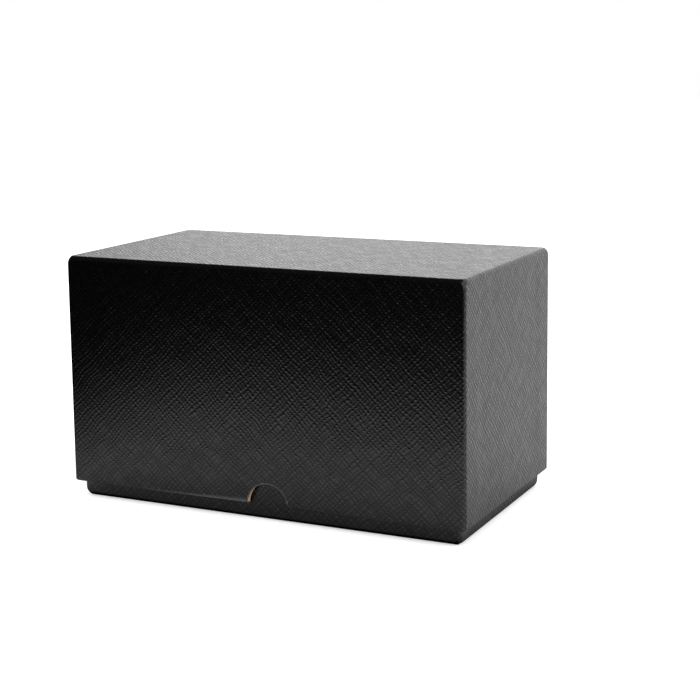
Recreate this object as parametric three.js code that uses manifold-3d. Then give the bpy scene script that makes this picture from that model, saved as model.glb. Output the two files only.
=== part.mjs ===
// A rigid paper-wrapped card storage box: a base tray and a telescoping lift-off lid.
// Both are trays of greyboard, taped at the corners, wrapped in embossed paper and lined.
// Millimetres, +Z up. The origin is on the ground under the middle of the box, the front is -Y.

import * as THREE from 'three';
import { mergeVertices } from 'three/addons/utils/BufferGeometryUtils.js';
import { RoundedBoxGeometry } from 'three/addons/geometries/RoundedBoxGeometry.js';
import Module from 'manifold-3d';

// Driving dimensions of the closed box
const boxLength = 185;
const boxWidth = 100;
const boxHeight = 107;
const baseShows = 7; // height of the base tray's wall that shows under the lid
const edgeRadius = 1.8; // outer rounding of the wrapped edges
const cornerBlunt = 1.9; // from a tray's square corner to its blunted one, along the diagonal

// Thickness of each material
const boardThickness = 2;
const wrapThickness = 0.25;
const tapeThickness = 0.12;
const liningThickness = 0.15;
const glueLine = 0.03; // left between any two glued layers

// Turned-over paper and tape
const hemDepth = 15; // how far the wrap turns in round a tray's rim
const underFlap = 16; // how far the base's wrap turns under its floor
const sheetInset = 2; // margin of the base's bottom sheet
const tapeLeg = 16; // reach of a corner tape along each wall

// Fit of the lid on the base
const lidClearance = 0.36; // to the base tray's wall, on each side
const lidRest = 0.05; // between the lid's lining and the base tray's rim

// Thumb notches in the lid's rim, front and back
const notchRadius = 9.5;
const notchOffset = 4.4; // to the right of the front's middle
const notchFlare = 1.8; // rounding where the notch's right side meets the rim

// How finely things are made
const cutOverrun = 1; // how far a cut runs past what it cuts
const weld = 0.0001; // points nearer than this are one
const edgeSteps = 4; // facets across a rounded edge
const arcSteps = 14; // facets along each arc of a notch

// Depth of each layer of a tray's wall, counted in from the tray's outer face
const tapeFace = wrapThickness + glueLine;
const boardFace = tapeFace + tapeThickness + glueLine;
const boardBack = boardFace + boardThickness;
const liningFace = boardBack + glueLine;
const liningBack = liningFace + liningThickness;
const hemFace = liningBack + glueLine;
const hemBack = hemFace + wrapThickness;
const rimFace = wrapThickness + glueLine; // where boards and lining end under the turned-in rim

// The two trays, each measured with its floor down and its rim up
const baseInset = hemBack + lidClearance;
const baseLift = wrapThickness + glueLine; // the bottom sheet lies under the base tray
const lid = {
  length: boxLength,
  width: boxWidth,
  height: boxHeight - baseShows,
  notched: true,
  upsideDown: true,
};
const base = {
  length: boxLength - 2 * baseInset,
  width: boxWidth - 2 * baseInset,
  height: boxHeight - liningBack - lidRest - baseLift,
  notched: false,
  upsideDown: false,
};

// Finishes, matched to the photographed box
const finishes = {
  embossedPaper: { color: 0x1b1b1d, roughness: 0.45, metalness: 0 },
  greyboard: { color: 0xb6946a, roughness: 0.9, metalness: 0 },
  tape: { color: 0xa57f52, roughness: 0.8, metalness: 0 },
  liningPaper: { color: 0x131314, roughness: 0.85, metalness: 0 },
};

const wasm = await Module();
wasm.setup();

// Makes a solid that can be joined and cut from a closed geometry.
function solidFrom(geometry) {
  const bare = geometry.clone();
  bare.deleteAttribute('normal');
  bare.deleteAttribute('uv');
  const merged = mergeVertices(bare, weld);
  const mesh = new wasm.Mesh({
    numProp: 3,
    vertProperties: Float32Array.from(merged.attributes.position.array),
    triVerts: Uint32Array.from(merged.index.array),
  });
  return new wasm.Manifold(mesh);
}

// Makes the named mesh of a finished solid.
function meshOf(name, solid, finish) {
  const { vertProperties, triVerts } = solid.getMesh();
  const geometry = new THREE.BufferGeometry();
  geometry.setAttribute('position', new THREE.BufferAttribute(Float32Array.from(vertProperties), 3));
  geometry.setIndex(new THREE.BufferAttribute(Uint32Array.from(triVerts), 1));
  geometry.computeVertexNormals();
  const mesh = new THREE.Mesh(geometry, new THREE.MeshStandardMaterial(finish));
  mesh.name = name;
  return mesh;
}

// A block from one corner to the opposite one. A radius above zero rounds all its edges.
function block(low, high, radius = 0) {
  const size = high.clone().sub(low);
  const shape = radius > 0
    ? new RoundedBoxGeometry(size.x, size.y, size.z, edgeSteps, radius)
    : new THREE.BoxGeometry(size.x, size.y, size.z);
  const middle = low.clone().lerp(high, 0.5);
  return solidFrom(shape.translate(middle.x, middle.y, middle.z));
}

// The block that lies a given depth inside a tray's four walls, between two heights.
function inside(tray, depth, bottom, top, radius = 0) {
  const x = tray.length / 2 - depth;
  const y = tray.width / 2 - depth;
  return block(new THREE.Vector3(-x, -y, bottom), new THREE.Vector3(x, y, top), radius);
}

// Blunts the four corners of a tray's floor, on a solid whose faces lie a given depth inside the tray.
function blunted(tray, depth, solid) {
  let result = solid;
  for (const sideX of [-1, 1]) {
    for (const sideY of [-1, 1]) {
      const inward = new THREE.Vector3(-sideX, -sideY, 1).normalize();
      const corner = new THREE.Vector3(sideX * tray.length / 2, sideY * tray.width / 2, 0);
      result = result.trimByPlane(inward.toArray(), inward.dot(corner) + cornerBlunt + depth);
    }
  }
  return result;
}

// The punch that cuts a tray's thumb notches, straight through its front and back walls.
// Its outline is a half circle centred on the rim, with a flare where the right side meets the rim.
function notchPunch(tray) {
  const flareX = Math.sqrt(notchRadius ** 2 - notchFlare ** 2);
  const outline = new THREE.Shape();
  outline.moveTo(-notchRadius, -cutOverrun);
  outline.lineTo(-notchRadius, 0);
  outline.absarc(0, 0, notchRadius, Math.PI, Math.asin(notchFlare / notchRadius), true);
  outline.absarc(flareX + notchFlare, notchFlare, notchFlare, Math.PI, 1.5 * Math.PI, false);
  outline.lineTo(flareX + notchFlare, -cutOverrun);
  const punch = new THREE.ExtrudeGeometry(outline, {
    depth: tray.width + 2 * cutOverrun,
    bevelEnabled: false,
    curveSegments: arcSteps,
  });
  punch.rotateX(-Math.PI / 2);
  punch.translate(notchOffset, -tray.width / 2 - cutOverrun, tray.height);
  return solidFrom(punch);
}

// The five boards: a full floor, full-length front and back walls on it, and end walls between them.
function makeBoards(tray) {
  const rounded = inside(tray, boardFace, boardFace, tray.height - rimFace, edgeRadius - boardFace);
  const core = blunted(tray, boardFace, rounded);
  const x = tray.length / 2;
  const y = tray.width / 2;
  const wallFoot = boardBack + glueLine;
  const endReach = y - boardBack - glueLine;
  const slab = (x0, x1, y0, y1, z0, z1) => core.intersect(
    block(new THREE.Vector3(x0, y0, z0), new THREE.Vector3(x1, y1, z1)),
  );
  return {
    floor: slab(-x, x, -y, y, 0, boardBack),
    nearWall: slab(-x, x, -y, boardBack - y, wallFoot, tray.height),
    farWall: slab(-x, x, y - boardBack, y, wallFoot, tray.height),
    leftWall: slab(-x, boardBack - x, -endReach, endReach, wallFoot, tray.height),
    rightWall: slab(x - boardBack, x, -endReach, endReach, wallFoot, tray.height),
  };
}

// One corner tape: an L of paper folded round a corner of the walls, on the outside of the boards.
function makeTape(tray, sideX, sideY) {
  const tapeBack = tapeFace + tapeThickness;
  const outer = inside(tray, tapeFace, 0, tray.height, edgeRadius - tapeFace);
  const inner = inside(tray, tapeBack, 0, tray.height, edgeRadius - tapeBack);
  const corner = new THREE.Vector3(sideX * tray.length / 2, sideY * tray.width / 2, boardBack);
  const reach = new THREE.Vector3(
    corner.x - sideX * tapeLeg,
    corner.y - sideY * tapeLeg,
    tray.height - boardBack,
  );
  const region = block(corner.clone().min(reach), corner.clone().max(reach));
  return outer.subtract(inner).intersect(region);
}

// The linings: a sheet on the floor and a sleeve round the walls, up to the rim.
function makeLinings(tray) {
  const sleeveFoot = liningBack + glueLine;
  const sleeve = inside(tray, liningFace, sleeveFoot, tray.height - rimFace);
  return {
    floor: inside(tray, liningFace, liningFace, liningBack),
    walls: sleeve.subtract(inside(tray, liningBack, 0, tray.height)),
  };
}

// The wrap: a skin over the floor and the walls that turns in round the rim as a hem.
function makeWrap(tray) {
  const outer = inside(tray, 0, 0, tray.height, edgeRadius);
  const hollow = inside(
    tray,
    wrapThickness,
    wrapThickness,
    tray.height - wrapThickness,
    edgeRadius - wrapThickness,
  );
  const hemFoot = tray.height - hemDepth;
  const hem = inside(tray, hemFace, hemFoot, tray.height - wrapThickness / 2);
  const mouth = inside(tray, hemBack, hemFoot - cutOverrun, tray.height + cutOverrun);
  const skin = blunted(tray, 0, outer).subtract(blunted(tray, wrapThickness, hollow));
  return skin.add(hem).subtract(mouth);
}

// Everything that a tray is made of, as meshes named after it. A tray that stands upside down is
// turned about X, which brings its far wall to the front.
function makeTray(name, tray) {
  const boards = makeBoards(tray);
  const linings = makeLinings(tray);
  let wrap = makeWrap(tray);
  if (tray.notched) {
    const punch = notchPunch(tray);
    boards.nearWall = boards.nearWall.subtract(punch);
    boards.farWall = boards.farWall.subtract(punch);
    linings.walls = linings.walls.subtract(punch);
    wrap = wrap.subtract(punch);
  } else {
    wrap = wrap.subtract(inside(tray, underFlap, -cutOverrun, wrapThickness + cutOverrun));
  }

  const front = tray.upsideDown ? 1 : -1;
  const frontWall = tray.upsideDown ? boards.farWall : boards.nearWall;
  const backWall = tray.upsideDown ? boards.nearWall : boards.farWall;
  const floorName = tray.upsideDown ? 'top' : 'floor';
  const pieces = new THREE.Group();
  pieces.add(meshOf(`${name}_${floorName}_board`, boards.floor, finishes.greyboard));
  pieces.add(meshOf(`${name}_front_board`, frontWall, finishes.greyboard));
  pieces.add(meshOf(`${name}_back_board`, backWall, finishes.greyboard));
  pieces.add(meshOf(`${name}_left_board`, boards.leftWall, finishes.greyboard));
  pieces.add(meshOf(`${name}_right_board`, boards.rightWall, finishes.greyboard));
  for (const [end, sideX] of [['left', -1], ['right', 1]]) {
    for (const [face, sideY] of [['front', front], ['back', -front]]) {
      const tape = makeTape(tray, sideX, sideY);
      pieces.add(meshOf(`${name}_tape_${face}_${end}`, tape, finishes.tape));
    }
  }
  pieces.add(meshOf(`${name}_${floorName}_lining`, linings.floor, finishes.liningPaper));
  pieces.add(meshOf(`${name}_wall_lining`, linings.walls, finishes.liningPaper));
  pieces.add(meshOf(`${name}_wrap`, wrap, finishes.embossedPaper));
  return pieces;
}

// The sheet pasted under the base tray, over the wrap's turned-under flaps.
function makeBottomSheet() {
  const sheet = inside(base, sheetInset, 0, wrapThickness);
  return meshOf('base_bottom_sheet', sheet, finishes.embossedPaper);
}

const baseTray = makeTray('base', base);
baseTray.position.z = baseLift;

const lidTray = makeTray('lid', lid);
lidTray.rotation.x = Math.PI;
lidTray.position.z = boxHeight;

const group = new THREE.Group();
group.add(makeBottomSheet(), baseTray, lidTray);

export default group;
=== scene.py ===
"""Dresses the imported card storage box: a base tray and a lift-off lid, wrapped in embossed black paper.

Lengths in the code are millimetres unless they come from a property, and become metres only where
a mesh is made. A tray is measured with its floor down: depth counts in from the outer face of its
walls, and height counts from its floor to its rim. The lid is such a tray standing upside down.
"""

import math

import bmesh
import bpy
import numpy as np
from bpy.props import FloatProperty, FloatVectorProperty, PointerProperty
from mathutils import Matrix, Vector


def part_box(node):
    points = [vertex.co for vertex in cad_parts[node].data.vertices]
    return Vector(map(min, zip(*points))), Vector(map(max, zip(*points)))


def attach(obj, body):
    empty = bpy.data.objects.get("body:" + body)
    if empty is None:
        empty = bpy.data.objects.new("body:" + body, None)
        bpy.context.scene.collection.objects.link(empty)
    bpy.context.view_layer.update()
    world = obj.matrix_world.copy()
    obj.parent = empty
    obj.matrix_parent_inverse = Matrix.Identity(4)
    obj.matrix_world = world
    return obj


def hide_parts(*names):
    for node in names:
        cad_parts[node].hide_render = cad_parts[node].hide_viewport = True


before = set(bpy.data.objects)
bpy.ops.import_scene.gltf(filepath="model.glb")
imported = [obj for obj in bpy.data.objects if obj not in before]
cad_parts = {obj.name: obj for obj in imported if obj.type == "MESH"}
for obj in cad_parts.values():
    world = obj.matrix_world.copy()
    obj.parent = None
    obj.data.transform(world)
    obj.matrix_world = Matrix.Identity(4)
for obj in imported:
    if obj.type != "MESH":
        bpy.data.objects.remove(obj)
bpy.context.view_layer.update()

bl_info = {
    "name": "Card storage box",
    "version": (1, 0, 0),
    "blender": (4, 5, 0),
    "location": "3D View > Sidebar > Card box",
    "description": "Makes the paper wraps, boards, linings and studio of a card storage box",
    "category": "Add Mesh",
}

MM = 0.001  # one millimetre in metres
SHEET_MAP = "sheet_mm"  # the UV map that gives each point's place on the flat sheet, in millimetres
PAINTED_HIGHLIGHT = "painted_highlight"  # the attribute that says how far the coating is painted lighter grey as highlight, from 0 to 1

# Layers of a wall, as depths from its outer face
BOARD_FACE = 0.43
BOARD_BACK = 2.43
HEM_BACK = 2.89
GLUED_FACE = 0.28  # where a board's face lies when no tape is under the wrap
WALL_FOOT = 2.46  # height of the wall boards' lower edge above the tray's floor
RIM_FACE = 0.28  # where the boards end under the turned-in rim

# Softness of the folds
BOARD_EDGE = 1.37  # rounding of a board's outer upright edges
HEM_EDGE = 0.35  # rounding of the rim's inner edge
HEM_CORNER = 0.3  # radius of the hem's corners, seen from above
EDGE_STEPS = 8  # facets across a rounded edge
CORNER_STEPS = 8  # facets round an upright corner
CORNER_PUSH = 1.2  # how far a tray's square corner would be pushed in to make it blunt
CORNER_REACH = 5.0  # how far from it the push is felt, as the sum of the distances from its faces
CREASE = math.radians(35)  # edges that turn by more than this stay sharp

# The glued paper's ripples: their spacing, and how far from an edge they start and are whole
WAVES = 7  # sine waves in one pattern of ripples
WALL_RIPPLE = 26.0
TOP_RIPPLE = 34.0
SHEET_RIPPLE = 22.0
FOOT_FADE = (1.5, 7.0)
RIM_FADE = (1.5, 6.0)
TOP_FADE = (1.5, 9.0)
SHEET_FADE = (0.5, 4.0)
EAR_WAVER = 0.4  # how far the edge of an ear wavers
EAR_RIPPLE = 30.0  # the spacing of its wavers
EAR_BLEND = 1.4  # how wide the step beyond an ear is

# The punched edge of the notch
NOTCH_STEPS = 60
FLARE_STEPS = 8
NOTCH_START = math.radians(1.2)  # the first column of the arc, next to its left end
ROLL_WIDTH = 0.7  # how far from the cut the punch has pressed the paper in
ROLL_DEPTH = 0.2
BEND_HEIGHT = 30.0  # how far from the rim the wall's rows start to bend round the notch
WORN_REACH = 22.0  # how far from the notch the rim's edge is softer
HIGHLIGHT_WIDTH = 0.5  # how far from the cut the painted highlight reaches
HIGHLIGHT_PLACE = (8.0, 34.0)  # the rim's stretch of painted highlight: its middle's distance left of the notch, its spread
HIGHLIGHT_LEAST = 0.16  # painted highlight on the rest of the rim's outer edge, as a share
HIGHLIGHT_TOP = 1.15  # how far up the rim's rounding the painted highlight ends, in radii
PLIES = 12  # rows across the board's cut face
BOARD_ROWS = (0, 0.03, 0.1, 0.25, 0.4, 0.55, 0.7, 0.8, 0.88, 0.93)  # shares of a board's height
HEM_ROWS = (0.01, 0.03, 0.07, 0.13, 0.22, 0.34, 0.48, 0.64, 0.82, 1.0)  # shares of a hem's depth
NEAR_CUT = (4.0, 2.6, 1.6, 0.9, 0.5, 0.25, 0.1, 0)  # rows of a board above its rim's rounding
SHEET_SINK = 0.2  # how far the bottom sheet sinks inside the flaps
SHEET_AWAY = 400  # moves its places on the flat sheet clear of the wrap's, so that its grain differs

# The grain's families of lines: angle in degrees, spacing as a share of the grain's, and depth share
GRAIN = ((45, 1.0, 0.9), (-45, 1.0, 0.9), (52, 1.45, 0.6), (-50, 1.5, 0.5))
PAINTED_GROOVE_SHADE = 0.5  # the share of a pressed line's light that is painted out as shade, by a black matte shader mixed in
LINE_POWER = 1.7  # makes the pressed lines narrower than the pads between them
LINE_ROUGHNESS = 0.28  # roughness down in a pressed line
PAD_ROUGHNESS = 0.13  # roughness of the smooth pads between the lines
LINE_STRETCH = 4  # how much longer a line's wavers and patches are than wide
WAVE_PERIOD = math.pi / 10  # Blender's wave texture repeats after this much over its scale

# The studio, in metres and as brightness. The paper mirrors a floor whose colour, for mirrored rays only,
# is painted dark far off in front and far to the left, with painted shade near the box and a painted
# contact shadow at its foot.
FLOOR_END = (-0.30, -0.17)  # where the mirrored floor's painted darkness in front is full, and where it is bright
FLOOR_SIDE = (-0.23, -0.09)  # the same on the left
FOOT_REACH = (4, 1, 0)  # distances beyond the box's ends count four times
FOOTPRINT = (-4 * 0.0875, -0.0449, 0)  # half the box's foot, times the reach above, as an offset
FLOOR_CONTACT = (0.0018, 0.0055)  # how far from the foot its painted contact shadow ends, darkest to none
FLOOR_NEAR = (0.008, 0.06)  # how far from the foot the painted shade of the box's dark sides dims the mirrored floor, most to none
NEAR_SHARE = 0.48  # brightness share of the mirrored floor under the painted shade
FLOOR_SEEN = 0.45  # brightness that is added to the floor where the camera sees it
BRIGHT_WAY = (0.766, 0.643, 0)  # the middle of the bright side of the surround
BRIGHT_EDGE = (-0.15, 0.2)  # along that way: where the surround starts to be bright, and where it is
BAND_WAY = (-0.35, 0, 1)  # square to the slanting top of the surround's bright side
BAND_TOP = (0.76, 0.62)  # along that way: where the bright side ends, and where it starts to fade
LAMP_WAY = (-0.6, -0.1, 1.0)  # from the box to the soft overhead light
LAMP_ANGLE = math.radians(130)
FLOOR_REACH = 4000  # half the floor's side, in millimetres

# Distances from an edge at which rows and columns stand close together
NEAR_EDGE = np.array([0.0, 0.12, 0.25, 0.4, 0.6, 0.9, 1.4, 2.1, 3.0, 4.2, 5.8, 8.0])
NEAR_CORNER = np.array([0.0, 0.3, 0.8, 1.6, 2.8])
WALL_STEP = 2.5  # the usual spacing of columns, and of the rows that stay level
BEND_STEP = 2.4  # the usual spacing of the rows that bend
FIRST_EVEN = 4.0  # how far from a wall's end its evenly spaced columns start


def to_linear(code):
    """Linear red, green, blue and alpha of an sRGB hex code: the usual curve, channel by channel."""
    share = np.array([int(code[i:i + 2], 16) for i in (1, 3, 5)]) / 255
    linear = np.where(share <= 0.04045, share / 12.92, ((share + 0.055) / 1.055) ** 2.4)
    return (*linear.tolist(), 1.0)


def length(name, description, default):
    """A length property, in metres."""
    return FloatProperty(
        name=name, description=description, default=default, unit="LENGTH", precision=5)


def swatch(name, description, code):
    """A colour property, from an sRGB hex code."""
    return FloatVectorProperty(
        name=name, description=description, default=to_linear(code), size=4, subtype="COLOR",
        min=0, max=1)


class CardBoxSizes(bpy.types.PropertyGroup):
    """Sizes of the paper, the folds and the notch."""

    paper: length("Paper", "Thickness of the wrapping paper", 0.00025)
    edge_radius: length("Edge radius", "Rounding of the wrapped edges", 0.0018)
    rim_radius: length("Rim radius", "Rounding of a rim's outer edge, away from the notch", 0.0012)
    worn_rim: length("Worn rim", "How much softer the rim's outer edge is beside the notch", 0.0010)
    hem: length("Hem", "How far the wrap turns in round a rim", 0.015)
    flap: length("Flap", "How far the base's wrap turns under its floor", 0.016)
    ear: length("Ear", "How far the long walls' paper reaches round under the end walls'", 0.0145)
    ear_step: length("Ear step", "How far the end walls' paper sinks beyond the ears", 0.0001)
    ripple: length("Ripple", "Unevenness of the glued paper", 0.00008)
    notch_radius: length("Notch radius", "Radius of the thumb notches", 0.0095)
    notch_offset: length("Notch offset", "The notches' distance to the right of the middle", 0.0044)
    notch_flare: length("Notch flare", "Rounding where a notch's right side meets the rim", 0.0018)
    fibre: length("Fibre", "Roughness of the boards' cut edges", 0.00005)
    grain_pitch: length("Grain pitch", "Distance between the lines of the embossed grain", 0.0016)
    grain_depth: length("Grain depth", "Depth of the embossed grain", 0.00008)


class CardBoxColours(bpy.types.PropertyGroup):
    """Colours of the materials."""

    wrap: swatch("Wrap", "Black coating of the wrapping paper", "#040405")
    # painted highlight: a lighter grey put on the rim's rounded edge and along the notch's cut, where
    # those edges catch light
    painted_highlight: swatch("Rubbed", "The coating where it is rubbed, along the rim and the notch", "#78787a")
    paper_body: swatch("Paper body", "Cut edge and back of the wrapping paper", "#3c3b3a")
    greyboard: swatch("Greyboard", "Raw recycled board", "#d8ae80")
    tape: swatch("Corner tape", "Gummed kraft paper tape", "#a57f52")
    lining: swatch("Lining", "Uncoated black lining paper", "#161617")
    floor: swatch("Floor", "White studio floor", "#f8f8f8")


class CardBoxStudio(bpy.types.PropertyGroup):
    """The photographed view and the light."""

    camera_place: FloatVectorProperty(
        name="Camera place", description="Where the camera stands",
        default=(0.30978, -0.59869, 0.19995), size=3, subtype="XYZ", unit="LENGTH")
    azimuth: FloatProperty(
        name="Azimuth", description="How far round from the front the camera stands",
        default=math.radians(25.858), subtype="ANGLE")
    pitch: FloatProperty(
        name="Pitch", description="How far the camera looks down",
        default=math.radians(8.399), subtype="ANGLE")
    roll: FloatProperty(
        name="Roll", description="How far the camera's right side dips",
        default=math.radians(0.700), subtype="ANGLE")
    lens: FloatProperty(
        name="Lens", description="Focal length on a 36 mm sensor",
        default=80.45, subtype="DISTANCE_CAMERA")
    shift: FloatProperty(
        name="Shift", description="How far the frame is shifted down from the lens axis, in frame widths",
        default=0.1203)
    surround: FloatProperty(
        name="Surround", description="Brightness of the white surround", default=1.63, min=0)
    dark_share: FloatProperty(
        name="Dark share", description="Brightness of the room in front, as a share of the surround",
        default=0.05, min=0, max=1, subtype="FACTOR")
    lamp: FloatProperty(
        name="Lamp", description="Light that falls from above, in watts per square metre",
        default=3.15, min=0)


class Tray:
    """The outer box of one tray, read from its CAD wrap."""

    def __init__(self, node, upside_down):
        low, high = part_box(node)
        self.half = np.array([high.x - low.x, high.y - low.y]) / 2 / MM
        self.height = (high.z - low.z) / MM
        self.foot = (high.z if upside_down else low.z) / MM
        self.up = -1 if upside_down else 1

    def place(self, x, y, height):
        """Points in the frame: the plan stays, and the height counts from the tray's foot."""
        x, y, height = np.broadcast_arrays(x, y, height)
        return np.stack([x, y, self.foot + self.up * height], -1)


class Notch:
    """Outline of a thumb notch: a half circle on the rim, with a flare at its right foot."""

    def __init__(self, sizes):
        self.radius = sizes.notch_radius / MM
        self.middle = sizes.notch_offset / MM
        self.flare = sizes.notch_flare / MM
        self.left = self.middle - self.radius
        self.bend = self.middle + math.sqrt(self.radius ** 2 - self.flare ** 2)
        self.right = self.bend + self.flare

    def stations(self):
        """Where columns cross the notch: even angles on its arc, then even angles on its flare."""
        end = math.pi - math.asin(self.flare / self.radius)
        arc = self.middle - self.radius * np.cos(np.linspace(NOTCH_START, end, NOTCH_STEPS))
        turn = np.linspace(0, math.pi / 2, FLARE_STEPS + 1)[1:]
        return np.concatenate([[self.left], arc, self.right - self.flare * np.cos(turn)])

    def cut(self, x):
        """Height of the outline over the rim: circle up to the bend, flare after it, else none."""
        circle = np.sqrt(np.maximum(self.radius ** 2 - (x - self.middle) ** 2, 0))
        flare = self.flare - np.sqrt(np.maximum(self.flare ** 2 - (self.right - x) ** 2, 0))
        inside = np.where(x <= self.bend + 1e-6, circle, flare)
        return np.where((x > self.left + 1e-6) & (x < self.right - 1e-6), inside, 0.0)

    def distance(self, x, over_rim):
        """Distance from the outline: to the circle, or inside the flare's corner to the flare."""
        circle = np.hypot(x - self.middle, over_rim) - self.radius
        flare = self.flare - np.hypot(self.right - x, self.flare - over_rim)
        at_flare = (x > self.bend) & (x < self.right) & (over_rim < self.flare)
        return np.where(at_flare, flare, circle)


def rim_rounding(sizes, notch, x):
    """Rounding of a rim's outer edge at x: the plain radius, and more by a bell curve at the notch."""
    plain = sizes.rim_radius / MM + 0 * x
    if not notch:
        return plain
    beside = np.maximum(np.maximum(notch.left - x, x - notch.right), 0)
    return plain + sizes.worn_rim / MM * np.exp(-(beside / WORN_REACH) ** 2)


def roll_in(notch, x, over_rim):
    """How far the punch has rolled the wall's face in: most at the cut, and falling to nothing
    with the square of the distance from it."""
    return ROLL_DEPTH * np.clip(1 - notch.distance(x, over_rim) / ROLL_WIDTH, 0, 1) ** 2


def painted_highlight_share(sizes, notch, x, over_rim):
    """How far the coating is painted lighter grey as highlight: along the cut, falling with the distance
    from it, and on the rim's rounded edge left of the notch, by a bell curve."""
    cut = np.clip(1 - np.abs(notch.distance(x, over_rim)) / HIGHLIGHT_WIDTH, 0, 1)
    along = np.exp(-((notch.left - HIGHLIGHT_PLACE[0] - x) / HIGHLIGHT_PLACE[1]) ** 2) * (x < notch.middle)
    rim = np.clip(HIGHLIGHT_TOP - over_rim / rim_rounding(sizes, notch, x), 0, 1)
    return np.maximum(cut, rim * (HIGHLIGHT_LEAST + (1 - HIGHLIGHT_LEAST) * along))


def blunt_corners(tray, x, y, up):
    """Blunts a tray's floor corners: near one, a point moves in by the same step from each of its
    three faces. The step falls with the square of the sum of its distances from them."""
    away = tray.half[0] - np.abs(x) + tray.half[1] - np.abs(y) + up
    push = CORNER_PUSH * np.clip(1 - away / CORNER_REACH, 0, 1) ** 2
    return x - np.sign(x) * push, y - np.sign(y) * push, up + push


def smooth_step(value, start, end):
    """0 before start, 1 after end, and a soft S between them."""
    share = np.clip((value - start) / (end - start), 0, 1)
    return share * share * (3 - 2 * share)


def ripples(x, y, pitch, seed):
    """Unevenness from 0 to 1: sine waves of about that pitch, with seeded directions."""
    draw = np.random.default_rng(seed)
    angle = draw.uniform(0, 2 * math.pi, WAVES)
    wave = 2 * math.pi / (pitch * draw.uniform(0.7, 1.6, WAVES))
    phase = draw.uniform(0, 2 * math.pi, WAVES)
    total = sum(
        np.sin(wave[k] * (x * math.cos(angle[k]) + y * math.sin(angle[k])) + phase[k])
        for k in range(WAVES)
    )
    return 0.5 + total / (2 * WAVES)


def wall_stations(half, radius, crossed=()):
    """Stations along a wall: even ones, closer ones at both ends, and the ones that cross a notch."""
    end = half - radius
    count = int(round(2 * (end - FIRST_EVEN) / WALL_STEP))
    even = np.linspace(FIRST_EVEN - end, end - FIRST_EVEN, count)
    parts = [NEAR_CORNER - end, end - NEAR_CORNER]
    if len(crossed):
        flanks = [crossed[0] - NEAR_EDGE[1:], crossed[-1] + NEAR_EDGE[1:]]
        even = even[(even < flanks[0].min() - 1) | (even > flanks[1].max() + 1)]
        parts += [np.asarray(crossed), *flanks]
    return np.unique(np.round(np.concatenate([even, *parts]), 6))


class Ring:
    """Columns round a tray, anticlockwise from above: front, right, back and left walls, with an
    arc of columns after each. A column has an anchor far out, a normal, and a place along the rim."""

    def __init__(self, tray, radius, front, side):
        self.tray = tray
        self.radius = radius
        far = 1e4
        turn = np.linspace(0, math.pi / 2, CORNER_STEPS + 1)[1:-1]
        parts = []
        reach = 0.0
        for k, stations in enumerate((front, side, -front[::-1], side)):
            out = np.array([[0, -1], [1, 0], [0, 1], [-1, 0]][k], float)
            way = np.array([-out[1], out[0]])
            parts.append((
                stations[:, None] * way + far * out, np.repeat(out[None], len(stations), 0),
                reach + stations - stations[0], np.full(len(stations), k),
                np.full(len(stations), True)))
            reach += stations[-1] - stations[0]
            parts.append((
                np.repeat(far * (out + way)[None], len(turn), 0),
                np.cos(turn)[:, None] * out + np.sin(turn)[:, None] * way,
                reach + radius * turn, np.full(len(turn), k), np.full(len(turn), False)))
            reach += radius * math.pi / 2
        self.anchors, self.normals, self.along, self.wall, self.straight = map(
            np.concatenate, zip(*parts))
        self.reach = reach
        self.count = len(self.along)
        walks = [self.along[(self.wall == k) & self.straight] for k in range(4)]
        self.middles = np.array([(walk[0] + walk[-1]) / 2 for walk in walks])

    def plan(self, depth, corner):
        """Plan of the columns at a depth: the anchor, held within the rectangle that the corner
        circles' centres span, and moved out along the normal by the corner's radius."""
        depth, corner = np.broadcast_arrays(np.asarray(depth, float), np.asarray(corner, float))
        limit_x = self.tray.half[0] - depth - corner
        limit_y = self.tray.half[1] - depth - corner
        x = np.clip(self.anchors[:, 0], -limit_x, limit_x) + corner * self.normals[:, 0]
        y = np.clip(self.anchors[:, 1], -limit_y, limit_y) + corner * self.normals[:, 1]
        return x, y

    def sheet_map(self, run):
        """Places on the flat cross-shaped sheet of the four corners of every face. A wall's strip
        lies beyond the edge it folds from, and the long walls' strips keep their corner ears."""
        start = self.along
        step = (np.roll(start, -1) - start) % self.reach
        on_wall = self.straight & np.roll(self.straight, -1)
        strip = np.where(on_wall | (self.wall % 2 == 0), self.wall, (self.wall + 1) % 4)
        local = start - self.middles[strip]
        local = (local + self.reach / 2) % self.reach - self.reach / 2
        near_x, near_y = self.tray.half - self.radius
        faces = []
        for row, column_shift in ((0, 0), (1, 0), (1, 1), (0, 1)):
            down = np.roll(run[row:len(run) - 1 + row], -column_shift, 1)
            side = local + column_shift * step + 0 * down
            u = np.choose(strip, [side, near_x + down, -side, -near_x - down])
            v = np.choose(strip, [-near_y - down, side, near_y + down, -side])
            faces.append(np.stack([u, v], -1))
        return np.stack(faces, 2)


def grid_quads(rows, columns, closed=False):
    """Corner numbers of a grid's faces. A closed grid's last column is joined to its first."""
    i, j = np.meshgrid(np.arange(rows - 1), np.arange(columns - (not closed)), indexing="ij")
    k = (j + 1) % columns
    return np.stack([i * columns + j, (i + 1) * columns + j, (i + 1) * columns + k, i * columns + k], -1)


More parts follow.
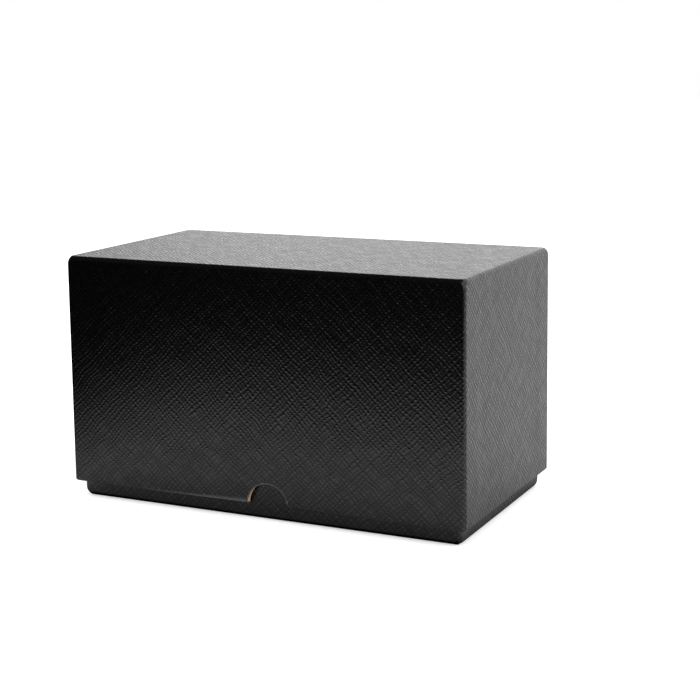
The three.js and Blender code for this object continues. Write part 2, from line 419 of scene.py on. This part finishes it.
def make_piece(name, patches, materials, flip=False, capped=False, painted_highlight=None):
    """A mesh object from patches of (points in mm, faces, sheet places of the faces' corners).
    Points that coincide become one, a capped piece's open ends are closed by flat faces, and edges
    that turn by more than CREASE stay sharp. Painted highlight gives the first patch's points their share
    of the highlight grey."""
    points, faces, places, count = [], [], [], 0
    for patch_points, patch_faces, patch_places in patches:
        points.append(patch_points.reshape(-1, 3))
        faces.append(patch_faces.reshape(-1, 4) + count)
        places.append(patch_places.reshape(-1, 4, 2))
        count += len(points[-1])
    points, faces, places = (np.concatenate(part) for part in (points, faces, places))
    if flip:
        faces, places = faces[:, ::-1], places[:, ::-1]
    mesh = bpy.data.meshes.new(name)
    mesh.from_pydata(points * MM, [], faces)
    layer = mesh.uv_layers.new(name=SHEET_MAP)
    layer.data.foreach_set("uv", np.ascontiguousarray(places, np.float32).ravel())
    if painted_highlight is not None:
        shares = np.zeros(len(points), np.float32)
        shares[:painted_highlight.size] = painted_highlight.ravel()
        mesh.attributes.new(PAINTED_HIGHLIGHT, "FLOAT", "POINT").data.foreach_set("value", shares)
    shape = bmesh.new()
    shape.from_mesh(mesh)
    bmesh.ops.remove_doubles(shape, verts=shape.verts, dist=1e-6)
    bmesh.ops.dissolve_degenerate(shape, edges=shape.edges, dist=1e-7)
    bmesh.ops.delete(shape, geom=[v for v in shape.verts if not v.link_faces], context="VERTS")
    if capped:
        bmesh.ops.holes_fill(shape, edges=[e for e in shape.edges if e.is_boundary])
    shape.to_mesh(mesh)
    shape.free()
    for material in materials:
        mesh.materials.append(material)
    mesh.shade_smooth()
    mesh.set_sharp_from_angle(angle=CREASE)
    piece = bpy.data.objects.new(name, mesh)
    bpy.context.scene.collection.objects.link(piece)
    return piece


def give_thickness(piece, thickness):
    """Thickens a sheet inwards, away from the way its faces look, and keeps the result as mesh. Its
    back and its edges take the second material."""
    solid = piece.modifiers.new("Thickness", "SOLIDIFY")
    solid.thickness = thickness
    solid.offset = -1
    solid.material_offset = solid.material_offset_rim = 1
    evaluated = piece.evaluated_get(bpy.context.evaluated_depsgraph_get())
    mesh = bpy.data.meshes.new_from_object(evaluated)
    piece.modifiers.clear()
    old = piece.data
    piece.data = mesh
    bpy.data.meshes.remove(old)
    mesh.set_sharp_from_angle(angle=CREASE)


def wrap_rows(ring, sizes, notch=None):
    """Depth, height, corner radius and run of the coated face at every row and column.

    From the floor's edge the rows run round a quarter circle, up the wall, round the rim's outer
    quarter circle, flat across the rim, round its inner quarter circle and down the hem. Where a
    notch crosses, the wall and the hem end on its outline and the rim's rows close up.
    """
    tray = ring.tray
    height = tray.height
    edge = sizes.edge_radius / MM
    plain_rim = sizes.rim_radius / MM
    hem = sizes.hem / MM
    level = np.ones(ring.count)
    x, _ = ring.plan(0.0, ring.radius)
    long_wall = (ring.wall % 2 == 0) & ring.straight
    rim = np.where(long_wall, rim_rounding(sizes, notch, x), plain_rim)
    cut = np.where(long_wall, notch.cut(x), 0) if notch else 0 * level

    first = edge * math.pi / 2 - edge
    rows = []

    def add_row(*row):
        """Adds a row's depth, height and run, each one number or one for every column."""
        rows.append([value * level for value in row])

    for turn in np.linspace(0, math.pi / 2, EDGE_STEPS + 1)[:-1]:
        add_row(edge * (1 - math.sin(turn)), edge * (1 - math.cos(turn)), edge * turn)

    bend_at = height - BEND_HEIGHT
    wall_end = height - np.maximum(cut, rim)
    near_floor = edge + NEAR_CORNER
    middle = np.linspace(near_floor[-1] + 2, bend_at, int((bend_at - near_floor[-1] - 2) / WALL_STEP))
    for at in np.concatenate([near_floor, middle]):
        add_row(0, at, first + at)
    total = BEND_HEIGHT - plain_rim
    above = np.arange(total - BEND_STEP, NEAR_EDGE[-1] + 1.5, -BEND_STEP)
    for over in np.concatenate([above, NEAR_EDGE[::-1]]):
        at = wall_end - over / total * (wall_end - bend_at)
        add_row(0, at, first + at)

    rim_start = len(rows) - 1
    most = np.arcsin(np.clip((rim - cut) / rim, 0, 1))
    for share in np.linspace(0, 1, EDGE_STEPS + 1)[1:]:
        turn = share * most
        add_row(
            rim * (1 - np.cos(turn)), np.where(cut >= rim, wall_end, height - rim + rim * np.sin(turn)),
            first + height - rim + rim * turn)

    flat_start = len(rows) - 1
    inner = HEM_BACK - HEM_EDGE
    for share in (0.33, 0.67):
        at = rim + share * (inner - rim)
        add_row(at, height - cut, rows[flat_start][2] + at - rim)

    least = np.arccos(np.clip((HEM_EDGE - cut) / HEM_EDGE, 0, 1))
    base_run = first + height + plain_rim * (math.pi / 2 - 2) + inner
    flat_end = len(rows)
    for share in np.linspace(0, 1, 5):
        turn = least + share * (math.pi / 2 - least)
        add_row(
            inner + HEM_EDGE * np.sin(turn),
            np.where(cut >= HEM_EDGE, height - cut, height - HEM_EDGE + HEM_EDGE * np.cos(turn)),
            base_run + HEM_EDGE * turn)

    hem_start = height - np.maximum(cut, HEM_EDGE)
    for share in HEM_ROWS:
        at = hem_start + share * (height - hem - hem_start)
        add_row(HEM_BACK, at, base_run + HEM_EDGE * (math.pi / 2 - 1) + height - at)

    depth, up, run = np.array(rows).transpose(1, 0, 2)
    keep = np.full((len(depth) - 1, ring.count), True)
    opened = (cut > 0) | (np.roll(cut, -1) > 0)
    keep[flat_start:flat_end, opened] = False

    least_corner = np.where(np.arange(len(depth)) < rim_start, 0, HEM_CORNER)[:, None]
    corner = np.maximum(ring.radius - depth, least_corner)
    if notch:
        rolled = roll_in(notch, x, height - up) * long_wall
        row = np.arange(len(depth))[:, None]
        depth = depth + np.where(row <= flat_start, 1, 0) * rolled
        depth = depth - np.where(row >= flat_end, 0.5, 0) * rolled
    return depth, up, run, corner, keep, rim_start


def uneven_walls(ring, sizes, depth, up, rim_start, seed):
    """Sinks the walls' middles: soft ripples everywhere, and on the end walls a step beyond the
    ears of the long walls' paper. Both fade out before the folded edges."""
    walk = ring.along
    fade = smooth_step(up, *FOOT_FADE) * smooth_step(ring.tray.height - up, *RIM_FADE)
    fade = fade * (np.arange(len(depth)) <= rim_start)[:, None]
    sunk = sizes.ripple / MM * ripples(walk, up, WALL_RIPPLE, seed)
    from_corner = ring.tray.half[1] - np.abs(walk - ring.middles[ring.wall])
    ear = sizes.ear / MM
    waver = EAR_WAVER * ripples(up, 0 * up, EAR_RIPPLE, seed + 1)
    step = sizes.ear_step / MM * smooth_step(from_corner, ear + waver, ear + waver + EAR_BLEND)
    end_wall = (ring.wall % 2 == 1) & ring.straight
    return depth + fade * (np.where(ring.straight, sunk, 0) + np.where(end_wall, step, 0))


def make_wrap(name, node, upside_down, sizes, materials, seed, notch=None):
    """A tray's wrap: the rows of wrap_rows carried round the ring of columns, closed by a flat
    panel on the lid's top, or by flaps turned under the base's floor."""
    tray = Tray(node, upside_down)
    radius = sizes.edge_radius / MM
    front = wall_stations(tray.half[0], radius, notch.stations() if notch else ())
    side = wall_stations(tray.half[1], radius)
    ring = Ring(tray, radius, front, side)
    depth, up, run, corner, keep, rim_start = wrap_rows(ring, sizes, notch)
    depth = uneven_walls(ring, sizes, depth, up, rim_start, seed)
    if not upside_down:
        flap = np.array([sizes.flap / MM, 12.0, 8.0, 5.0, 3.0, 2.0])[:, None] * np.ones(ring.count)
        depth = np.concatenate([flap, depth])
        up = np.concatenate([0 * flap, up])
        run = np.concatenate([radius - flap, run])
        corner = np.concatenate([0 * flap, corner])
        keep = np.concatenate([np.full(flap.shape, True), keep])
    x, y = ring.plan(depth, corner)
    points = tray.place(*blunt_corners(tray, x, y, up))
    quads = grid_quads(len(depth), ring.count, closed=True)
    patches = [(points, quads[keep], ring.sheet_map(run)[keep])]
    if upside_down:
        across, along = np.meshgrid(front, side, indexing="ij")
        edge = np.minimum(tray.half[0] - np.abs(across), tray.half[1] - np.abs(along))
        sunk = sizes.ripple / MM * ripples(across, along, TOP_RIPPLE, seed + 2)
        sunk = sunk * smooth_step(edge, *TOP_FADE)
        top = tray.place(*blunt_corners(tray, across, along, sunk))
        plan = np.stack([across, along], -1)
        quads = grid_quads(len(front), len(side))
        patches.append((top, quads, plan.reshape(-1, 2)[quads]))
    # the share of painted highlight: lighter grey on the rim's rounded edge and along the notch's cut
    painted_highlight = painted_highlight_share(sizes, notch, x, tray.height - up) if notch else None
    wrap = make_piece(name, patches, materials, flip=not upside_down, painted_highlight=painted_highlight)
    give_thickness(wrap, sizes.paper)
    return wrap


def make_notched_board(name, sizes, notch, facing, material, seed):
    """A wall board of the lid with its punched notch: a closed ring of rows round the board's
    cross-section, carried along the wall. The cut face is roughened ply by ply."""
    tray = Tray("lid_wrap", True)
    height = tray.height
    reach = tray.half[0] - BOARD_FACE
    ends = reach - BOARD_EDGE + BOARD_EDGE * np.sin(np.linspace(0, math.pi / 2, 7)[1:])
    stations = wall_stations(reach, BOARD_EDGE, notch.stations())
    x = np.unique(np.round(np.concatenate([-ends, stations, ends]), 6))
    cut = notch.cut(x)
    punched = cut > 0
    beyond = np.clip(np.abs(x) - (reach - BOARD_EDGE), 0, BOARD_EDGE)
    beside = np.maximum(notch.left - x, x - notch.right)
    face = GLUED_FACE + (BOARD_FACE - GLUED_FACE) * smooth_step(beside, 5, 15)
    face = face + BOARD_EDGE - np.sqrt(BOARD_EDGE ** 2 - beyond ** 2)
    rim = rim_rounding(sizes, notch, x)
    foot = height - np.maximum(cut, RIM_FACE)
    round_from = height - np.maximum(cut, rim)
    edge = np.minimum(rim - GLUED_FACE, 0.9 * (BOARD_BACK - face))
    most = np.arcsin(np.clip((foot - round_from) / edge, 0, 1))

    rows = [(face, WALL_FOOT + share * (round_from - WALL_FOOT)) for share in BOARD_ROWS]
    rows += [(face, round_from - above) for above in NEAR_CUT]
    for share in np.linspace(0, 1, EDGE_STEPS + 1)[1:]:
        turn = share * most
        rows.append((face + edge * (1 - np.cos(turn)), round_from + edge * np.sin(turn)))
    rounded, cut_at = rows[-1]
    first_ply = len(rows)
    for share in np.linspace(0, 1, PLIES + 1)[1:]:
        rows.append((rounded + share * (BOARD_BACK - rounded), cut_at))
    for share in (1, *BOARD_ROWS[::-1]):
        rows.append((np.full(len(x), BOARD_BACK), WALL_FOOT + share * (foot - WALL_FOOT)))
    depth, up = np.array(rows).transpose(1, 0, 2)
    rolled = roll_in(notch, x, height - up)
    depth = depth + np.where(np.arange(len(depth))[:, None] < first_ply, rolled, 0)

    draw = np.random.default_rng(seed)
    rough = draw.normal(0, 1, (PLIES - 1, len(x)))
    rough = 0.6 * rough + 0.4 * np.roll(rough, 1, 1) + 0.8 * draw.normal(0, 1, (PLIES - 1, 1))
    push = np.zeros(depth.shape)
    push[first_ply:first_ply + PLIES - 1] = rough * punched * sizes.fibre / MM
    radial = np.maximum(np.hypot(x - notch.middle, cut), notch.flare)
    across = x + push * (notch.middle - x) / radial
    up = up + push * cut / radial

    points = tray.place(across, facing * (tray.half[1] - depth), up)
    quads = grid_quads(*depth.shape)
    close = np.stack([quads[-1, :, 1], quads[0, :, 0], quads[0, :, 3], quads[-1, :, 2]], -1)
    faces = np.concatenate([quads.reshape(-1, 4), close])
    flat = points.reshape(-1, 3)
    places = flat[:, [0, 2]][faces]
    return make_piece(name, [(flat, faces, places)], [material], flip=facing > 0, capped=True)


def make_bottom_sheet(name, sizes, materials):
    """The sheet pasted under the base: a grid that lies flat over the turned-under flaps and sinks
    by most of the paper's thickness inside them, with the flaps' mitred corners showing faintly."""
    low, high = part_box("base_bottom_sheet")
    base = Tray("base_wrap", False)
    half = np.array([high.x - low.x, high.y - low.y]) / 2 / MM
    edge_at = base.half - sizes.flap / MM
    near = np.array([0.0, 0.4, 1.0, 2.0])

    def stations(reach, step_at):
        steps = step_at + np.array([-1.0, -0.6, -0.3, 0.0, 0.3, 0.6, 1.0])
        inner = np.linspace(0, step_at - 3, 20)
        right = np.concatenate([inner, steps, reach - near, step_at + [4, 7, 10]])
        return np.unique(np.round(np.concatenate([-right, right]), 6))

    x, y = np.meshgrid(stations(half[0], edge_at[0]), stations(half[1], edge_at[1]), indexing="ij")
    inward = np.minimum(edge_at[0] - np.abs(x), edge_at[1] - np.abs(y))
    rise = SHEET_SINK * smooth_step(inward, -0.8, 0.8)
    inset = np.minimum(half[0] - np.abs(x), half[1] - np.abs(y))
    rise = rise + 0.03 * ripples(x, y, SHEET_RIPPLE, 31) * smooth_step(inset, *SHEET_FADE)
    points = np.stack([x, y, rise], -1)
    plan = np.stack([y + SHEET_AWAY, x], -1)
    quads = grid_quads(*x.shape)
    sheet = make_piece(name, [(points, quads, plan.reshape(-1, 2)[quads])], materials, flip=True)
    give_thickness(sheet, sizes.paper)
    return sheet


def add_node(tree, kind, inputs=None, **settings):
    """Adds a node with its settings. Each input is linked to a socket or set to a value."""
    node = tree.nodes.new(kind)
    for name, value in settings.items():
        setattr(node, name, value)
    for key, value in (inputs or {}).items():
        if isinstance(value, bpy.types.NodeSocket):
            tree.links.new(value, node.inputs[key])
        else:
            node.inputs[key].default_value = value
    return node


def combine(tree, operation, *values):
    """The output of a math node that works on numbers or sockets."""
    return add_node(tree, "ShaderNodeMath", dict(enumerate(values)), operation=operation).outputs[0]


def ramp(tree, value, start, end, low=0.0, high=1.0, curve="SMOOTHSTEP"):
    """The output of a node that takes start to low and end to high, and runs between them."""
    return add_node(
        tree, "ShaderNodeMapRange",
        {"Value": value, "From Min": start, "From Max": end, "To Min": low, "To Max": high},
        interpolation_type=curve).outputs[0]


def new_material(name):
    """An empty node material with its output, as (material, tree, output)."""
    material = bpy.data.materials.new(name)
    material.use_nodes = True
    tree = material.node_tree
    tree.nodes.clear()
    return material, tree, add_node(tree, "ShaderNodeOutputMaterial")


def emboss_lines(tree, place, angle, pitch, shift):
    """One family of pressed lines, 1 in a line and 0 between: waves across the angle, made narrow,
    wavering, and fainter in patches that are long in the lines' direction."""
    turned = add_node(
        tree, "ShaderNodeMapping",
        {"Vector": place, "Location": (shift, 0, 0), "Rotation": (0, 0, angle),
         "Scale": (1, LINE_STRETCH, 1)},
        vector_type="TEXTURE")
    lines = add_node(
        tree, "ShaderNodeTexWave",
        {"Vector": turned.outputs[0], "Scale": WAVE_PERIOD / pitch, "Distortion": 2.0, "Detail": 1.0,
         "Detail Scale": 0.8, "Detail Roughness": 0.5},
        wave_type="BANDS", bands_direction="X", wave_profile="SIN")
    narrow = combine(tree, "POWER", lines.outputs["Fac"], LINE_POWER)
    patches = add_node(
        tree, "ShaderNodeTexNoise",
        {"Vector": turned.outputs[0], "Scale": 0.3, "Detail": 1.5, "Roughness": 0.6},
        noise_dimensions="2D")
    return combine(tree, "MULTIPLY", narrow, ramp(tree, patches.outputs["Fac"], 0.33, 0.6, 0.5, 1.0))


def embossed_paper(sizes, colours):
    """Black art paper with a glossy coating, pressed between rollers with a cross-hatched grain.
    To the eye it is near black from the front, and silvery and lined at a flat angle. The pads
    between the lines shine, the lines are darkened by painted shade, and along the rim and the notch
    the coating is painted a dull lighter grey as highlight."""
    material, tree, output = new_material("embossed_black_paper")
    sheet = add_node(tree, "ShaderNodeUVMap", uv_map=SHEET_MAP)
    drift = add_node(
        tree, "ShaderNodeTexNoise", {"Vector": sheet.outputs[0], "Scale": 0.1, "Detail": 2.0},
        noise_dimensions="2D")
    shift = add_node(
        tree, "ShaderNodeVectorMath",
        {0: drift.outputs["Color"], 1: (2.4, 2.4, 0), 2: sheet.outputs[0]}, operation="MULTIPLY_ADD")
    pitch = sizes.grain_pitch / MM
    pads = 1.0
    for angle, stretch, depth in GRAIN:
        lines = emboss_lines(tree, shift.outputs[0], math.radians(angle), stretch * pitch, 7.0 * angle)
        pads = combine(tree, "MULTIPLY", pads, combine(tree, "MULTIPLY_ADD", lines, -depth, 1.0))
    grit = add_node(
        tree, "ShaderNodeTexNoise", {"Vector": sheet.outputs[0], "Scale": 1.9, "Detail": 2.0},
        noise_dimensions="2D")
    height = combine(tree, "MULTIPLY_ADD", grit.outputs["Fac"], 0.2, pads)
    bump = add_node(
        tree, "ShaderNodeBump", {"Strength": 1.0, "Distance": sizes.grain_depth, "Height": height})
    # the base colour turns to the lighter grey of the painted highlight along the rim and the notch
    painted_highlight = add_node(tree, "ShaderNodeAttribute", attribute_name=PAINTED_HIGHLIGHT)
    colour = add_node(
        tree, "ShaderNodeMix",
        {0: painted_highlight.outputs["Fac"], 6: tuple(colours.wrap), 7: tuple(colours.painted_highlight)},
        data_type="RGBA")
    roughness = ramp(tree, pads, 0.0, 1.0, LINE_ROUGHNESS, PAD_ROUGHNESS, "LINEAR")
    surface = add_node(
        tree, "ShaderNodeBsdfPrincipled",
        {"Base Color": colour.outputs[2], "Roughness": roughness, "IOR": 1.6,
         "Normal": bump.outputs[0]})
    # painted shade: a black matte shader, mixed in by the pressed lines, darkens them
    painted_groove_shade = add_node(tree, "ShaderNodeBsdfDiffuse", {"Color": (0, 0, 0, 1)})
    shade = ramp(tree, pads, 0.0, 1.0, PAINTED_GROOVE_SHADE, 0.0, "LINEAR")
    both = add_node(
        tree, "ShaderNodeMixShader", {0: shade, 1: surface.outputs[0], 2: painted_groove_shade.outputs[0]})
    tree.links.new(both.outputs[0], output.inputs[0])
    return material


def fibrous(name, colour, dark, light, scale, stretch, depth, rough):
    """A fibrous matte stock. Soft blotches and fine stretched flecks vary its colour, and the same
    flecks roughen it."""
    material, tree, output = new_material(name)
    place = add_node(tree, "ShaderNodeTexCoord")
    millimetres = add_node(
        tree, "ShaderNodeMapping",
        {"Vector": place.outputs["Object"], "Scale": tuple(s / MM for s in stretch)})
    flecks = add_node(
        tree, "ShaderNodeTexNoise",
        {"Vector": millimetres.outputs[0], "Scale": scale, "Detail": 6.0, "Roughness": 0.7})
    blotches = add_node(
        tree, "ShaderNodeTexNoise",
        {"Vector": millimetres.outputs[0], "Scale": scale / 12, "Detail": 2.0})
    both = combine(tree, "MULTIPLY_ADD", flecks.outputs["Fac"], 0.7, blotches.outputs["Fac"])
    mixed = add_node(
        tree, "ShaderNodeMix",
        {0: ramp(tree, both, 0.6, 1.1, curve="LINEAR"), 6: tuple(dark * c for c in colour[:3]) + (1,),
         7: tuple(min(1, light * c) for c in colour[:3]) + (1,)}, data_type="RGBA")
    bump = add_node(
        tree, "ShaderNodeBump", {"Strength": 1.0, "Distance": depth, "Height": flecks.outputs["Fac"]})
    surface = add_node(
        tree, "ShaderNodeBsdfPrincipled",
        {"Base Color": mixed.outputs[2], "Roughness": rough, "IOR": 1.5, "Specular IOR Level": 0.3,
         "Normal": bump.outputs[0]})
    tree.links.new(surface.outputs[0], output.inputs[0])
    return material


def paper_body(colours):
    """The wrap's dyed paper where it isn't coated: its cut edges and its back, dull dark grey."""
    return fibrous("dyed_paper_body", colours.paper_body, 0.75, 1.2, 3.0, (1, 1, 1), 0.00001, 0.9)


def greyboard(colours):
    """Greyboard, pressed from recycled fibre and left raw: tan, dull and flecked, with its plies
    showing as fine streaks where it is cut."""
    return fibrous("raw_greyboard", colours.greyboard, 0.62, 1.22, 2.4, (1, 3, 1), 0.00006, 0.92)


def kraft_tape(colours):
    """Gummed kraft tape: brown, with long fibres and a faint machine sheen."""
    return fibrous("gummed_kraft_tape", colours.tape, 0.8, 1.15, 1.6, (1, 1, 0.25), 0.00002, 0.75)


def lining_paper(colours):
    """Uncoated black paper, smooth and dead matte, with faint cloudy fibres."""
    return fibrous("uncoated_black_paper", colours.lining, 0.8, 1.3, 1.8, (1, 1, 1), 0.00001, 0.88)


def settings():
    """The three property groups of the scene."""
    scene = bpy.context.scene
    return scene.card_box_sizes, scene.card_box_colours, scene.card_box_studio


def finished(name, make):
    """The named material, made once."""
    return bpy.data.materials.get(name) or make()


def wrap_papers(sizes, colours):
    """The materials of a wrap: its coated face, then its body."""
    return [
        finished("embossed_black_paper", lambda: embossed_paper(sizes, colours)),
        finished("dyed_paper_body", lambda: paper_body(colours)),
    ]


def dress(nodes, material):
    """Gives carried-over CAD nodes a material."""
    for node in nodes:
        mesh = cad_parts[node].data
        mesh.materials.clear()
        mesh.materials.append(material)


class CARDBOX_OT_lid_wrap(bpy.types.Operator):
    """Makes the lid's embossed paper wrap, with its hem, ears and thumb notches"""

    bl_idname = "cardbox.lid_wrap"
    bl_label = "Lid wrap"

    def execute(self, context):
        sizes, colours, _ = settings()
        papers = wrap_papers(sizes, colours)
        wrap = make_wrap("lid_paper_wrap", "lid_wrap", True, sizes, papers, 5, Notch(sizes))
        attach(wrap, "lid")
        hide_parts("lid_wrap")
        return {"FINISHED"}


class CARDBOX_OT_base_wrap(bpy.types.Operator):
    """Makes the base tray's embossed paper wrap and the sheet pasted under it"""

    bl_idname = "cardbox.base_wrap"
    bl_label = "Base wrap"

    def execute(self, context):
        sizes, colours, _ = settings()
        papers = wrap_papers(sizes, colours)
        wrap = make_wrap("base_paper_wrap", "base_wrap", False, sizes, papers, 17)
        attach(wrap, "base")
        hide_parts("base_wrap")
        sheet = make_bottom_sheet("base_pasted_sheet", sizes, papers)
        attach(sheet, "base")
        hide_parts("base_bottom_sheet")
        return {"FINISHED"}


class CARDBOX_OT_notched_boards(bpy.types.Operator):
    """Makes the lid's front and back boards with their punched, fibrous notches"""

    bl_idname = "cardbox.notched_boards"
    bl_label = "Notched boards"

    def execute(self, context):
        sizes, colours, _ = settings()
        board = finished("raw_greyboard", lambda: greyboard(colours))
        for side, facing, seed in (("front", -1, 3), ("back", 1, 4)):
            name = f"lid_{side}_notched_board"
            piece = make_notched_board(name, sizes, Notch(sizes), facing, board, seed)
            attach(piece, "lid")
            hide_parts(f"lid_{side}_board")
        return {"FINISHED"}


class CARDBOX_OT_inner_layers(bpy.types.Operator):
    """Gives the plain boards, corner tapes and linings their materials"""

    bl_idname = "cardbox.inner_layers"
    bl_label = "Boards, tapes and linings"

    def execute(self, context):
        _, colours, _ = settings()
        shown = [name for name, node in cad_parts.items() if not node.hide_render]
        board = finished("raw_greyboard", lambda: greyboard(colours))
        dress([name for name in shown if name.endswith("_board")], board)
        dress([name for name in shown if "_tape_" in name], kraft_tape(colours))
        dress([name for name in shown if name.endswith("_lining")], lining_paper(colours))
        return {"FINISHED"}


class CARDBOX_OT_studio(bpy.types.Operator):
    """Makes the floor, the white surround, the lamp and the camera at the photographed view"""

    bl_idname = "cardbox.studio"
    bl_label = "Studio"

    def execute(self, context):
        _, colours, studio = settings()
        make_floor(colours)
        make_surround(studio)
        make_lamp(studio)
        make_camera(studio)
        context.scene.view_settings.view_transform = "Standard"
        return {"FINISHED"}


def make_floor(colours):
    """A wide matte white sheet, which keeps the box's faint shadow. What the glossy paper mirrors of
    it is painted: it falls to dark far in front and far to the left, has painted shade near the box, and
    a black painted contact shadow at the foot."""
    material, tree, output = new_material("matte_white_floor")
    place = add_node(tree, "ShaderNodeTexCoord").outputs["Object"]
    parts = add_node(tree, "ShaderNodeSeparateXYZ", {0: place})
    size = add_node(tree, "ShaderNodeVectorMath", {0: place}, operation="ABSOLUTE")
    outside = add_node(
        tree, "ShaderNodeVectorMath", {0: size.outputs[0], 1: FOOT_REACH, 2: FOOTPRINT},
        operation="MULTIPLY_ADD")
    over = add_node(tree, "ShaderNodeSeparateXYZ", {0: outside.outputs[0]})
    away = combine(tree, "MAXIMUM", over.outputs["X"], over.outputs["Y"])
    # painted shade in the floor's mirrored tone only: dark far in front and to the left, painted shade
    # near the box, and a painted contact shadow at the foot
    sheet = ramp(tree, parts.outputs["Y"], *FLOOR_END)
    for value, *ends in (
            (parts.outputs["X"], *FLOOR_SIDE), (away, *FLOOR_CONTACT), (away, *FLOOR_NEAR, NEAR_SHARE)):
        sheet = combine(tree, "MULTIPLY", sheet, ramp(tree, value, *ends))
    path = add_node(tree, "ShaderNodeLightPath")
    tone = add_node(tree, "ShaderNodeMix", {0: path.outputs["Is Glossy Ray"], 2: 1.0, 3: sheet})
    paint = add_node(
        tree, "ShaderNodeMix",
        {0: tone.outputs[0], 6: (0, 0, 0, 1), 7: tuple(colours.floor)}, data_type="RGBA")
    matte = add_node(tree, "ShaderNodeBsdfDiffuse", {"Color": paint.outputs[2]})
    strength = combine(tree, "MULTIPLY", path.outputs["Is Camera Ray"], FLOOR_SEEN)
    glow = add_node(tree, "ShaderNodeEmission", {"Color": paint.outputs[2], "Strength": strength})
    both = add_node(tree, "ShaderNodeAddShader", {0: matte.outputs[0], 1: glow.outputs[0]})
    tree.links.new(both.outputs[0], output.inputs[0])
    side = np.linspace(-FLOOR_REACH, FLOOR_REACH, 9)
    x, y = np.meshgrid(side, side, indexing="ij")
    points = np.stack([x, y, 0 * x], -1)
    quads = grid_quads(*x.shape)
    floor = make_piece("floor", [(points, quads, points.reshape(-1, 3)[:, :2][quads])], [material])


def make_surround(studio):
    """The world: bright behind and to the right, up to a slanting top, dim in front and overhead
    where the room is, and white to the camera."""
    world = bpy.data.worlds.new("white_surround")
    bpy.context.scene.world = world
    world.use_nodes = True
    tree = world.node_tree
    tree.nodes.clear()
    place = add_node(tree, "ShaderNodeTexCoord")
    bright = 1.0
    for way, ends in ((BRIGHT_WAY, BRIGHT_EDGE), (BAND_WAY, BAND_TOP)):
        along = add_node(
            tree, "ShaderNodeVectorMath", {0: place.outputs["Generated"], 1: way},
            operation="DOT_PRODUCT")
        bright = combine(tree, "MULTIPLY", bright, ramp(tree, along.outputs["Value"], *ends))
    level = add_node(
        tree, "ShaderNodeMix", {0: bright, 2: studio.surround * studio.dark_share, 3: studio.surround})
    path = add_node(tree, "ShaderNodeLightPath")
    seen = add_node(
        tree, "ShaderNodeMix", {0: path.outputs["Is Camera Ray"], 2: level.outputs[0], 3: 1.0})
    background = add_node(
        tree, "ShaderNodeBackground", {"Color": (1, 1, 1, 1), "Strength": seen.outputs[0]})
    output = add_node(tree, "ShaderNodeOutputWorld")
    tree.links.new(background.outputs[0], output.inputs[0])


def make_lamp(studio):
    """The soft light overhead, as broad as a ceiling. The glossy paper doesn't mirror it."""
    light = bpy.data.lights.new("soft_overhead_light", "SUN")
    lamp = bpy.data.objects.new("soft_overhead_light", light)
    light.energy = studio.lamp
    light.angle = LAMP_ANGLE
    lamp.rotation_euler = Vector(LAMP_WAY).to_track_quat("Z", "Y").to_euler()
    lamp.visible_glossy = False
    bpy.context.scene.collection.objects.link(lamp)


def make_camera(studio):
    """The camera: it looks along its azimuth and down by its pitch, with its right side dipped."""
    a, p, r = studio.azimuth, -studio.pitch, studio.roll
    ahead = Vector((-math.sin(a) * math.cos(p), math.cos(a) * math.cos(p), math.sin(p)))
    level = Vector((math.cos(a), math.sin(a), 0))
    down = ahead.cross(level)
    right = math.cos(r) * level + math.sin(r) * down
    turn = Matrix((right, right.cross(ahead), -ahead)).transposed().to_4x4()
    camera = bpy.data.objects.new("camera", bpy.data.cameras.new("camera"))
    camera.matrix_world = Matrix.Translation(Vector(studio.camera_place)) @ turn
    camera.data.sensor_width = 36
    camera.data.lens = studio.lens
    camera.data.shift_y = -studio.shift
    camera.data.clip_start = 0.01
    camera.data.clip_end = 50
    bpy.context.scene.collection.objects.link(camera)
    bpy.context.scene.camera = camera


class CARDBOX_PT_panel(bpy.types.Panel):
    """Lists the box's sizes, colours and pieces"""

    bl_idname = "CARDBOX_PT_panel"
    bl_label = "Card storage box"
    bl_space_type = "VIEW_3D"
    bl_region_type = "UI"
    bl_category = "Card box"

    def draw(self, context):
        for group in settings():
            box = self.layout.box()
            for name in group.__annotations__:
                box.prop(group, name)
        for operator in PIECES:
            self.layout.operator(operator.bl_idname)


GROUPS = {
    "card_box_sizes": CardBoxSizes,
    "card_box_colours": CardBoxColours,
    "card_box_studio": CardBoxStudio,
}
PIECES = (
    CARDBOX_OT_lid_wrap,
    CARDBOX_OT_base_wrap,
    CARDBOX_OT_notched_boards,
    CARDBOX_OT_inner_layers,
    CARDBOX_OT_studio,
)


def register():
    """Registers the property groups, the operators and the panel."""
    for cls in (*GROUPS.values(), *PIECES, CARDBOX_PT_panel):
        bpy.utils.register_class(cls)
    for name, group in GROUPS.items():
        setattr(bpy.types.Scene, name, PointerProperty(type=group))


def unregister():
    """Removes what register added."""
    for name in GROUPS:
        delattr(bpy.types.Scene, name)
    for cls in (CARDBOX_PT_panel, *reversed(PIECES), *GROUPS.values()):
        bpy.utils.unregister_class(cls)


def main():
    """Makes every piece and the studio."""
    register()
    bpy.ops.cardbox.lid_wrap()
    bpy.ops.cardbox.base_wrap()
    bpy.ops.cardbox.notched_boards()
    bpy.ops.cardbox.inner_layers()
    bpy.ops.cardbox.studio()


if __name__ == "__main__":
    main()
